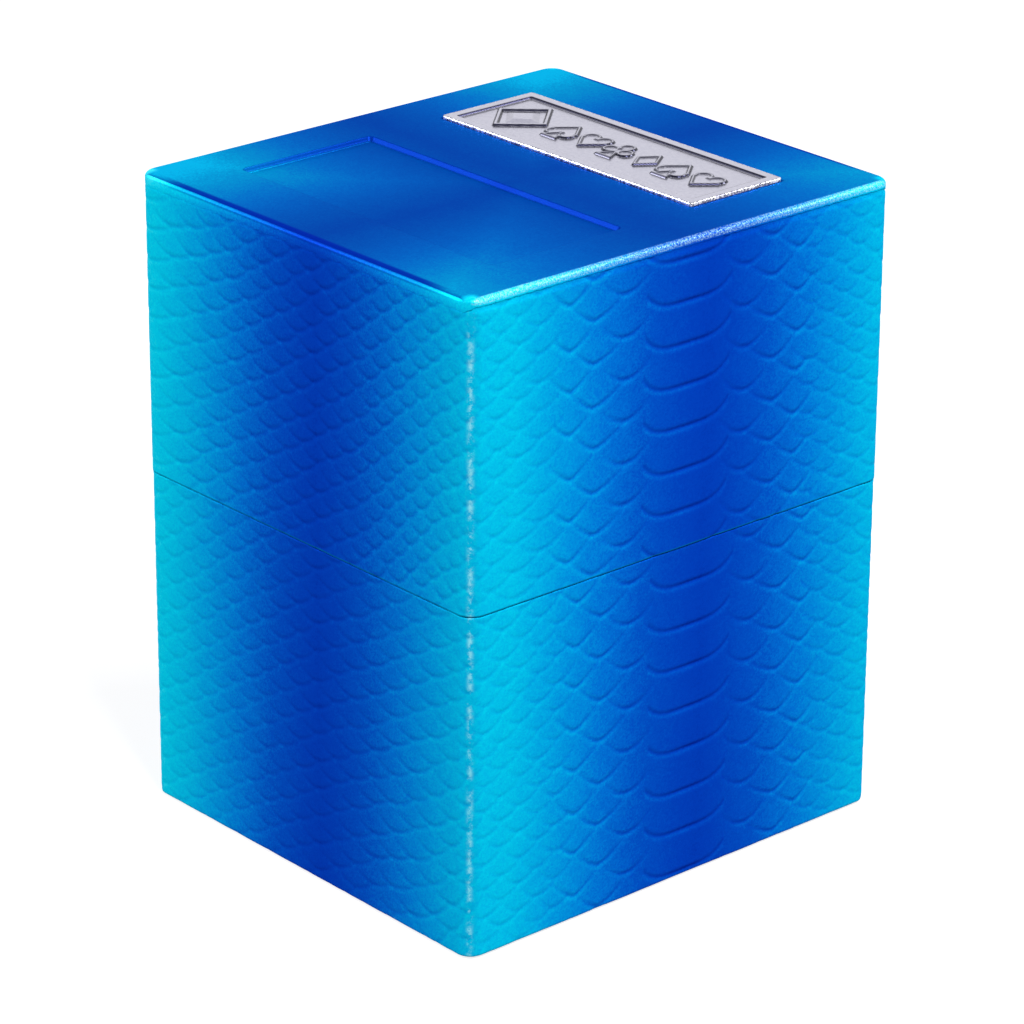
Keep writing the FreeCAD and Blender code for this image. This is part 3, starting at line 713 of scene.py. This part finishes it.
def build_nameplate(material):
    """The metal plate: a raised rim round a field with the motif."""
    half = PLATE_HALF
    xs = grid_lines(-half[0], half[0], [-half[0], half[0]], *PLATE_GRID)
    ys = grid_lines(-half[1], half[1], [-half[1], half[1]], *PLATE_GRID)

    def height(x, y, depth):
        inner = inside_box(x, y, (0.0, 0.0), half - PLATE_RIM, FIELD_CORNER)
        field = PLATE_FIELD * smooth(0.5 + inner / PLATE_SLOPE)
        return (PLATE_HIGH[2] - round_over(depth, PLATE_EDGE) - field
                + motif_height(x, y) * smooth(inner / FIELD_MARGIN))

    points, faces, slopes = slab(xs, ys, height, PLATE_LOW[2], half, PLATE_CORNER)
    depth = (half - np.abs(points[:, :2])).min(axis=1)
    # a line inside the edge, which carries painted glints
    edge_glints = 1.0 - smooth((depth - PLATE_EDGE) / PLATE_GLINT_WIDTH)
    # steep: the slopes, which carry a painted dark reflection
    attributes = {"slope_reflection": smooth(slopes / 1.1) * (1.0 - edge_glints), "edge_glints": edge_glints}
    points[:, :2] += PLATE_CENTRE
    make_object("nameplate_relief", points, faces, material, "lid", "nameplate",
                attributes)


# ---------------------------------------------------------------- pads inside

PAD_EDGE, PAD_CORNER = 1.2, 2.0  # radii of a pad's edges and of its corners in plan
PAD_CROWN = 0.30  # its middle stands this much higher than its edges
PAD_SINK = 0.35  # and its edges this much lower than the CAD's
PAD_GRID = (90, 98)


def build_pad(name, node, body, faces_up, material):
    """A stuffed pad, crowned on the side that shows and drawn in at its edges."""
    low, high = node_box(node)
    half = ((high - low) / 2.0)[:2]
    thick = high[2] - low[2]
    xs, ys = (np.linspace(-size, size, count) for size, count in zip(half, PAD_GRID))

    def height(x, y, depth):
        ripple = 0.05 * np.sin(x * 0.21 + 0.6) * np.cos(y * 0.17)
        crown = PAD_CROWN * (1.0 - (x / half[0]) ** 2) * (1.0 - (y / half[1]) ** 2)
        return thick - PAD_SINK - round_over(depth, PAD_EDGE) * 0.9 + crown + ripple

    points, faces, _ = slab(xs, ys, height, 0.0, half, PAD_CORNER)
    if faces_up:
        points[:, 2] += low[2]
    else:
        points[:, 2] = high[2] - points[:, 2]
        faces = [face[::-1] for face in faces]
    points[:, :2] += ((high + low) / 2.0)[:2]
    pad = make_object(name, points, faces, material, body, node)


# ---------------------------------------------------------------- materials


class Nodes:
    """The nodes of a material or of the world, with its shader."""

    def __init__(self, owner, shader="Principled BSDF"):
        owner.use_nodes = True
        self.owner = owner
        self.tree = owner.node_tree
        self.shader = self.tree.nodes[shader]

    def put(self, socket, value):
        """Sets a socket, or links another one to it."""
        if isinstance(value, bpy.types.NodeSocket):
            self.tree.links.new(value, socket)
        else:
            socket.default_value = value

    def add(self, kind, inputs, **settings):
        """A new node, its inputs put in by name or number."""
        node = self.tree.nodes.new(kind)
        for key, value in settings.items():
            setattr(node, key, value)
        for key, value in inputs.items():
            self.put(node.inputs[key], value)
        return node

    def finish(self, **values):
        """Puts values into the shader, and returns the material or the world."""
        for name, value in values.items():
            self.put(self.shader.inputs[name.replace("_", " ")], value)
        return self.owner

    @functools.cached_property
    def coordinates(self):
        """The object's own coordinates, in metres."""
        return self.add("ShaderNodeTexCoord", {}).outputs["Object"]

    @functools.cached_property
    def position(self):
        """Its X, Y and Z."""
        return list(self.add("ShaderNodeSeparateXYZ", {0: self.coordinates}).outputs)

    def attribute(self, name):
        """A value that a shape function has left on the mesh."""
        return self.add("ShaderNodeAttribute", {}, attribute_name=name).outputs["Fac"]

    def noise(self, scale, detail=3.0, roughness=0.6):
        """Cloudy noise from 0 to 1."""
        inputs = {"Scale": scale, "Detail": detail, "Roughness": roughness}
        inputs["Vector"] = self.coordinates
        return self.add("ShaderNodeTexNoise", inputs).outputs["Fac"]

    def grain(self, scale):
        """A different value in each small cell, from 0 to 1."""
        inputs = {"Scale": scale, "Vector": self.coordinates}
        return self.add("ShaderNodeTexVoronoi", inputs).outputs["Color"]

    def math(self, operation, first, second=None, clamp=False):
        """An operation on one or two values."""
        inputs = {0: first} if second is None else {0: first, 1: second}
        node = self.add("ShaderNodeMath", inputs, operation=operation, use_clamp=clamp)
        return node.outputs[0]

    def product(self, *factors):
        """All the factors multiplied."""
        return functools.reduce(lambda one, two: self.math("MULTIPLY", one, two), factors)

    def spread(self, value, width):
        """A value from 0 to 1 laid evenly round 0, over a width."""
        return self.math("MULTIPLY", self.math("SUBTRACT", value, 0.5), width)

    def band(self, value, start, end):
        """0 up to start, 1 from end on; start may be the higher of the two."""
        inputs = {"Value": value, "From Min": start, "From Max": end}
        node = self.add("ShaderNodeMapRange", inputs, interpolation_type="SMOOTHSTEP")
        return node.outputs["Result"]

    def seen_or_lighting(self, seen, lighting):
        """One value for camera, glossy and transmission rays, another for those that light."""
        rays = self.add("ShaderNodeLightPath", {}).outputs
        direct = self.math("MAXIMUM", rays["Is Camera Ray"], rays["Is Glossy Ray"])
        direct = self.math("MAXIMUM", direct, rays["Is Transmission Ray"])
        inputs = {"Value": direct, "To Min": lighting, "To Max": seen}
        return self.add("ShaderNodeMapRange", inputs).outputs["Result"]

    def ramp(self, factor, stops, interpolation="EASE"):
        """Colours at their places along a factor."""
        node = self.add("ShaderNodeValToRGB", {"Fac": factor})
        node.color_ramp.interpolation = interpolation
        elements = node.color_ramp.elements
        while len(elements) < len(stops):
            elements.new(0.5)
        for element, (position, colour) in zip(elements, stops):
            element.position = position
            element.color = colour
        return node.outputs["Color"]

    def mix(self, factor, first, second):
        """The first colour at 0, the second at 1."""
        node = self.add("ShaderNodeMix", {}, data_type="RGBA")
        for name, value in (("Factor", factor), ("A", first), ("B", second)):
            self.put(next(s for s in node.inputs if s.name == name and s.enabled), value)
        return next(s for s in node.outputs if s.enabled)

    def bump(self, height, strength, distance, below=None):
        """The normal of a bumpy surface, over the normal of another one."""
        inputs = {"Height": height, "Strength": strength, "Distance": distance}
        if below:
            inputs["Normal"] = below
        return self.add("ShaderNodeBump", inputs).outputs["Normal"]


def linear(red, green, blue):
    """A colour given in display values from 0 to 255."""
    def one(value):
        value /= 255.0
        return value / 12.92 if value <= 0.04045 else ((value + 0.055) / 1.055) ** 2.4
    return one(red), one(green), one(blue), 1.0


# Colours by how far a point lies from the middle of a wall (0) towards its upright edges (1).
# Below 0 come the painted shade lines of the creases, above 1 the painted highlight lines beside
# them.
FADE = [(-0.25, (0, 32, 150)), (0.0, (1, 59, 179)), (0.09, (1, 63, 182)), (0.26, (1, 80, 192)),
        (0.43, (1, 112, 208)), (0.60, (1, 146, 218)), (0.77, (2, 178, 225)), (0.95, (3, 203, 231)),
        (1.20, (70, 228, 240))]
TOP_FADE = [(0.00, (1, 57, 144)), (0.06, (1, 61, 147)), (0.19, (1, 69, 152)),
            (0.29, (1, 75, 158)), (0.38, (1, 82, 163)), (0.47, (1, 91, 169)),
            (0.56, (1, 101, 173)), (0.66, (1, 116, 177)), (0.76, (1, 127, 180)),
            (0.85, (1, 141, 190)), (0.95, (2, 160, 204))]
FADE_START, FADE_END = -0.25, 1.20
WALL_FADE_CENTRE = (0.0038, 0.0042)  # the darkest band lies off the middle of each wall
TOP_FADE_CENTRE = (0.0026, 0.0)
TOP_FADE_WIDEN, TOP_FADE_LEAN = 1.08, -0.22
# painted shade on the top's slopes, folds and crest
SHADE_BLUE = linear(0, 30, 142)
# the colour of the painted glints on the walls' upright corners
CORNER_GLINT_PALE = linear(150, 232, 246)
# the colour of the painted glints on the top's turned edge
GLINT_SILVER = linear(176, 226, 238)
# the painted light and shade of the seam, on the lid's rim
SEAM_SHADE_TEAL = linear(0, 112, 150)

# A satin pearl dye: its shine takes the colour of the leatherette.
PEARL = {"Specular_IOR_Level": 0.0, "Specular_Tint": (0.0, 0.45, 1.0, 1.0), "Coat_Roughness": 0.35}

# Where marks start and end on the top's leatherette, in metres from its side edges, from its
# front and back edges, or above the floor.
FRONT_TURNED, SIDE_TURNED, CORNER_TURNED = (0.00042, 0.00030), (0.00090, 0.00070), (0.0030, 0.0015)
INLAND = (0.003, 0.012)
FOLD_SHADE_LINE = (0.0017, 0.0010)
CREST_SHADE_HEIGHTS = (0.10885, 0.10925)
GLINT_LINE = (0.00100, 0.00060)


def fade_shares(nodes, centre):
    """How far a point lies towards the side walls and towards the front and back, from 0 to 1."""
    half = TOP_HIGH * METRES
    shares = []
    for axis, position in enumerate(nodes.position[:2]):
        distance = nodes.math("ABSOLUTE", nodes.math("SUBTRACT", position, centre[axis]))
        shares.append(nodes.math("DIVIDE", distance, half[axis] + centre[axis]))
    return shares


def wall_fade(nodes, shift):
    """The walls' dye: its factor is the lower share moved by a shift."""
    share = nodes.math("MINIMUM", *fade_shares(nodes, WALL_FADE_CENTRE), clamp=True)
    moved = nodes.math("ADD", nodes.math("ADD", share, shift), -FADE_START)
    factor = nodes.math("DIVIDE", moved, FADE_END - FADE_START, clamp=True)
    stops = [((place - FADE_START) / (FADE_END - FADE_START), linear(*colour))
             for place, colour in FADE]
    return nodes.ramp(factor, stops, "LINEAR")


def top_fade(nodes, shift):
    """The top's dye, a little paler towards its left side, its factor moved by a shift."""
    share_x, share_y = fade_shares(nodes, TOP_FADE_CENTRE)
    share_x = nodes.math("MULTIPLY", share_x, TOP_FADE_WIDEN)
    lean = nodes.math("MULTIPLY", nodes.position[0], TOP_FADE_LEAN / (TOP_HIGH[0] * METRES))
    share_y = nodes.math("MULTIPLY", share_y, nodes.math("ADD", lean, 1.0))
    share = nodes.math("ADD", nodes.math("MINIMUM", share_x, share_y), shift, clamp=True)
    return nodes.ramp(share, [(place, linear(*colour)) for place, colour in TOP_FADE], "LINEAR")


def leather_grain(nodes, strength):
    """The normal of fine pebbling, with a coarser unevenness under it."""
    coarse = nodes.bump(nodes.noise(1300.0, 3.0), strength * 0.6, 0.00010)
    return nodes.bump(nodes.noise(4200.0, 2.0), strength, 0.00005, coarse)


def wall_leatherette():
    """The fade, with painted shade and highlight at the creases, painted glints on the upright
    corners and a painted seam line of teal on the lid's rim.
    """
    nodes = Nodes(bpy.data.materials.new("wall_leatherette"))
    mottle = nodes.spread(nodes.noise(260.0, 4.0), 0.10)
    grain = nodes.spread(nodes.grain(3800.0), 0.15)
    # the painted shade and highlight along the scales' edges move the fade darker and lighter
    creased = nodes.math("MULTIPLY", nodes.attribute("crease_shading"), 0.25)
    colour = wall_fade(nodes, nodes.math("ADD", nodes.math("ADD", creased, mottle), grain))
    # painted glints along the upright corners, where the scale edges cross them
    on_corner = nodes.math("POWER", nodes.attribute("corner"), 26.0)
    corner_glints = nodes.band(nodes.noise(420.0, 6.0, 0.75), 0.45, 0.60)
    colour = nodes.mix(nodes.product(on_corner, corner_glints, 0.85), colour, CORNER_GLINT_PALE)
    # a teal line painted on the lid's rim stands in for the light and shade at the seam
    in_lid = nodes.band(nodes.position[2], SEAM - 0.0001, SEAM + 0.0001)
    colour = nodes.mix(nodes.product(nodes.attribute("rim"), in_lid, 0.7), colour, SEAM_SHADE_TEAL)
    return nodes.finish(Base_Color=colour, Normal=leather_grain(nodes, 0.35), Roughness=0.42,
                        Metallic=0.18, Coat_Weight=0.01, **PEARL)


def turned_dye(nodes, from_side, from_front, on_front, grain):
    """The walls' dye on the turned edge, lightened upwards as a painted highlight, and how much of
    it shows.
    """
    # a painted highlight: the dye lightens towards the top
    haze_highlight = nodes.band(nodes.position[2], (FRONT_BAND - 0.6) * METRES, (TOP_HIGH[2] - 0.2) * METRES)
    dye = wall_fade(nodes, nodes.math("ADD", nodes.math("MULTIPLY", haze_highlight, 0.14), grain))
    on_side = nodes.band(from_side, *SIDE_TURNED)
    on_corner = nodes.product(nodes.band(from_side, *CORNER_TURNED),
                              nodes.band(from_front, *CORNER_TURNED))
    return dye, nodes.math("MAXIMUM", nodes.math("MAXIMUM", on_front, on_side), on_corner)


def top_leatherette():
    """The top's fade, with painted shade on its slopes, folds and front crest, a painted highlight
    on its turned edge and painted glints on it at the sides.
    """
    nodes = Nodes(bpy.data.materials.new("top_leatherette"))
    x, y, height = nodes.position
    half = (TOP_HIGH - TOP_INSET) * METRES
    from_side = nodes.math("SUBTRACT", half[0], nodes.math("ABSOLUTE", x))
    from_front = nodes.math("SUBTRACT", half[1], nodes.math("ABSOLUTE", y))
    on_front = nodes.band(from_front, *FRONT_TURNED)
    inland = nodes.band(from_side, *INLAND)
    grain = nodes.spread(nodes.grain(4200.0), 0.18)
    colour = top_fade(nodes, nodes.math("ADD", nodes.spread(nodes.noise(260.0, 4.0), 0.10), grain))
    # painted shade on the slopes of the top's edge and of the pressed panel
    colour = nodes.mix(nodes.math("MULTIPLY", nodes.attribute("edge"), 0.62), colour, SHADE_BLUE)
    # a painted shade line along the front and back folds
    fold_shade = nodes.product(nodes.band(from_front, *FOLD_SHADE_LINE), inland, 0.9)
    colour = nodes.mix(fold_shade, colour, SHADE_BLUE)
    dye, turned = turned_dye(nodes, from_side, from_front, on_front, grain)
    colour = nodes.mix(turned, colour, dye)
    # painted shade along the crest of the front and back edges
    crest_shade = nodes.product(nodes.band(height, *CREST_SHADE_HEIGHTS), on_front, inland, 0.5)
    colour = nodes.mix(crest_shade, colour, SHADE_BLUE)
    # painted silvery glints along the turned edge at the sides
    glint_specks = nodes.band(nodes.noise(3600.0, 4.0, 0.75), 0.44, 0.60)
    painted_glints = nodes.product(nodes.band(from_side, *GLINT_LINE), glint_specks, 0.50)
    above = nodes.band(height, (SIDE_BAND + 0.25) * METRES, (SIDE_BAND + 0.4) * METRES)
    colour = nodes.mix(nodes.math("MULTIPLY", painted_glints, above), colour, GLINT_SILVER)
    return nodes.finish(Base_Color=colour, Normal=leather_grain(nodes, 0.22), Roughness=0.36,
                        Metallic=0.22, Coat_Weight=0.015, **PEARL)


def plate_metal():
    """Satin metal, with a painted dark reflection on the relief's slopes and painted glints along
    the plate's edges.
    """
    nodes = Nodes(bpy.data.materials.new("plate_metal"))
    tint = nodes.noise(1500.0, 2.0)
    colour = nodes.ramp(tint, [(0.3, linear(189, 188, 206)), (0.7, linear(199, 198, 214))])
    # a painted dark reflection on the slopes
    colour = nodes.mix(nodes.attribute("slope_reflection"), colour, linear(30, 30, 46))
    # painted glints, light and dark specks, inside the plate's edge
    glint_specks = nodes.band(nodes.noise(2600.0, 2.0), 0.42, 0.62)
    painted_glints = nodes.ramp(glint_specks, [(0.0, linear(120, 120, 138)), (1.0, linear(240, 240, 248))])
    colour = nodes.mix(nodes.attribute("edge_glints"), colour, painted_glints)
    normal = nodes.bump(nodes.noise(6000.0, 2.0), 0.10, 0.00002)
    return nodes.finish(Base_Color=colour, Normal=normal, Metallic=1.0, Roughness=0.24)


def microfibre():
    """Dark cloth with a fine nap, cloudy where it has been brushed."""
    nodes = Nodes(bpy.data.materials.new("microfibre"))
    dark = linear(14, 18, 30)
    nap = nodes.noise(2600.0, 4.0, 0.7)
    brushed = nodes.math("MULTIPLY", nodes.noise(90.0, 3.0), 0.35)
    colour = nodes.ramp(nap, [(0.3, dark), (0.7, linear(36, 42, 60))])
    return nodes.finish(Base_Color=nodes.mix(brushed, colour, dark),
                        Normal=nodes.bump(nap, 0.5, 0.00012), Roughness=0.95, Sheen_Weight=0.12)


def mottled(name, dark, pale, noise, bump, **values):
    """A material that wanders between two colours, with bumps in step."""
    nodes = Nodes(bpy.data.materials.new(name))
    speck = nodes.noise(*noise)
    colour = nodes.ramp(speck, [(0.3, linear(*dark)), (0.7, linear(*pale))])
    return nodes.finish(Base_Color=colour, Normal=nodes.bump(speck, *bump), **values)


# ---------------------------------------------------------------- build

wall = wall_leatherette()
cloth = microfibre()
board = mottled("grey_board", (150, 144, 134), (184, 178, 168), (700.0, 6.0, 0.7), (0.3, 0.0001),
                Roughness=0.9)
magnet = mottled("magnet_metal", (176, 176, 180), (200, 200, 204), (1500.0,), (0.2, 0.00005),
                 Roughness=0.3, Metallic=1.0)
tape = mottled("adhesive_sheet", (214, 212, 200), (230, 228, 218), (800.0,), (0.2, 0.00005),
               Roughness=0.6)
underside = mottled("underside_leatherette", (8, 40, 110), (14, 56, 140), (1800.0,),
                    (0.2, 0.00005), Roughness=0.6)

build_wall("lid_scale_wrap", "lid", LID_SKIN, wall)
build_wall("base_scale_wrap", "base", BASE_SKIN, wall)
build_top(top_leatherette())
build_nameplate(plate_metal())
build_pad("floor_cushion", "floor_pad", "base", True, cloth)
build_pad("ceiling_cushion", "lid_ceiling_pad", "lid", False, cloth)

FINISHES = {"board": board, "magnets": magnet, "tape": tape}  # by the last word of a node's name
for name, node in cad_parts.items():
    look = FINISHES.get(name.split("_")[-1], cloth)
    if name == "base_bottom_skin":
        look = underside
    node.data.materials.clear()
    node.data.materials.append(look)

# ---------------------------------------------------------------- stage, lights and camera

WORLD_LIGHT = 0.16
FLOOR_GLOW = 0.83
FLOOR_REACH = 3.0
WHITE = (1.0, 1.0, 1.0, 1.0)
LAMPS = {  # place, size and power
    "key_lamp": ((0.76, -0.20, 1.08), 0.35, 17.3),
    "left_lamp": ((-0.75, -0.75, 0.60), 0.45, 9.1),
    "edge_lamp": ((0.45, 0.75, 0.85), 0.20, 5.0),
}
LAMPS_AIM = Vector((0.0, 0.0, 0.06))
CAMERA_AT = Vector((0.51473, -0.45471, 0.33657))
CAMERA_TARGET = Vector((-0.00010, -0.00012, 0.05170))
CAMERA_ROLL = math.radians(0.355)
CAMERA_LENS, CAMERA_SENSOR = 159.2, 36.0


def aim(thing, target, roll=0.0):
    """Turns a lamp or the camera towards a point."""
    thing.rotation_mode = "QUATERNION"
    turn = (target - thing.location).to_track_quat("-Z", "Y")
    thing.rotation_quaternion = turn @ Matrix.Rotation(roll, 4, "Z").to_quaternion()


def build_lamps():
    """Soft square lamps over the box."""
    for name, (place, size, power) in LAMPS.items():
        data = bpy.data.lights.new(name, "AREA")
        data.energy, data.size = power, size
        aim(add_object(name, data, place), LAMPS_AIM)


def build_world():
    """White to look at, dim as a light."""
    world = bpy.data.worlds.new("studio")
    bpy.context.scene.world = world
    nodes = Nodes(world, "Background")
    nodes.finish(Color=WHITE, Strength=nodes.seen_or_lighting(1.0, WORLD_LIGHT))


def build_floor():
    """White paper with an opening under the box, so that its underside can be looked at."""
    mesh = bpy.data.meshes.new("floor")
    opening = (node_box("base_bottom_skin")[1][:2] + 0.4) * METRES
    corners = [(side_x * half_x, side_y * half_y, 0.0)
               for half_x, half_y in ((FLOOR_REACH, FLOOR_REACH), opening)
               for side_x, side_y in ((-1, -1), (1, -1), (1, 1), (-1, 1))]
    strips = [(k, (k + 1) % 4, 4 + (k + 1) % 4, 4 + k) for k in range(4)]
    mesh.from_pydata(corners, [], strips)
    nodes = Nodes(bpy.data.materials.new("floor_paper"))
    glow = nodes.seen_or_lighting(FLOOR_GLOW, 0.0)
    mesh.materials.append(nodes.finish(Base_Color=(0.28, 0.28, 0.28, 1.0), Roughness=0.9,
                                       Specular_IOR_Level=0.0, Emission_Color=WHITE,
                                       Emission_Strength=glow))
    add_object("floor", mesh)


def build_camera():
    """A long lens above the front right corner."""
    data = bpy.data.cameras.new("camera")
    data.lens, data.sensor_width = CAMERA_LENS, CAMERA_SENSOR
    camera = add_object("camera", data, CAMERA_AT)
    aim(camera, CAMERA_TARGET, CAMERA_ROLL)
    bpy.context.scene.camera = camera


build_world()
build_floor()
build_camera()
build_lamps()

bpy.context.scene.view_settings.view_transform = "Standard"
